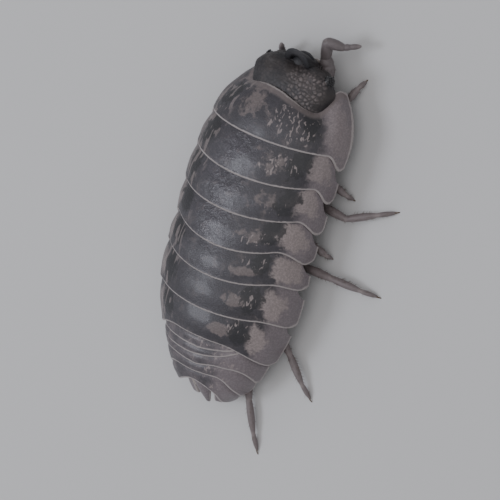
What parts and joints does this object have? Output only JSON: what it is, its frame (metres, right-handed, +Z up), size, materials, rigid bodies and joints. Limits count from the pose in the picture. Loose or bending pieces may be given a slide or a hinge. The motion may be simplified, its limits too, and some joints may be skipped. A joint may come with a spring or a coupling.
{
  "type": "woodlouse",
  "caption": "Life-size pill woodlouse with an upright nose plate, walking on the floor: arched overlapping back plates, elbowed feelers and thin jointed legs.",
  "frame": {"origin": "on the floor, below the middle of the bounding box", "axes": "+Z up from the floor, -Y towards the head, +X to the animal's left"},
  "size_m": [0.0119, 0.0213, 0.0041],
  "materials": {
    "shell": "semi-gloss dark slate grey with pale plate edges, tan patches and light mottling",
    "head": "semi-gloss brown-black, finely granular",
    "eye": "gloss black, faceted",
    "limb": "satin grey-brown, paler at the joints",
    "under": "satin pale grey-brown"
  },
  "bodies": {
    "root": {"antenna_left": "limb", "antenna_right": "limb", "eye_left": "eye", "eye_right": "eye", "head": "head", "leg_left_1": "limb", "leg_left_2": "limb", "leg_left_3": "limb", "leg_left_4": "limb", "leg_left_5": "limb", "leg_left_6": "limb", "leg_left_7": "limb", "leg_right_1": "limb", "leg_right_2": "limb", "leg_right_3": "limb", "leg_right_4": "limb", "leg_right_5": "limb", "leg_right_6": "limb", "leg_right_7": "limb", "mouthparts": "under", "pereonite_1": "shell", "pereonite_2": "shell", "pereonite_3": "shell", "pereonite_4": "shell", "pereonite_5": "shell", "pereonite_6": "shell", "pereonite_7": "shell", "pleon": "shell", "telson": "shell", "uropod_left": "shell", "uropod_right": "shell"}
  },
  "joints": []
}
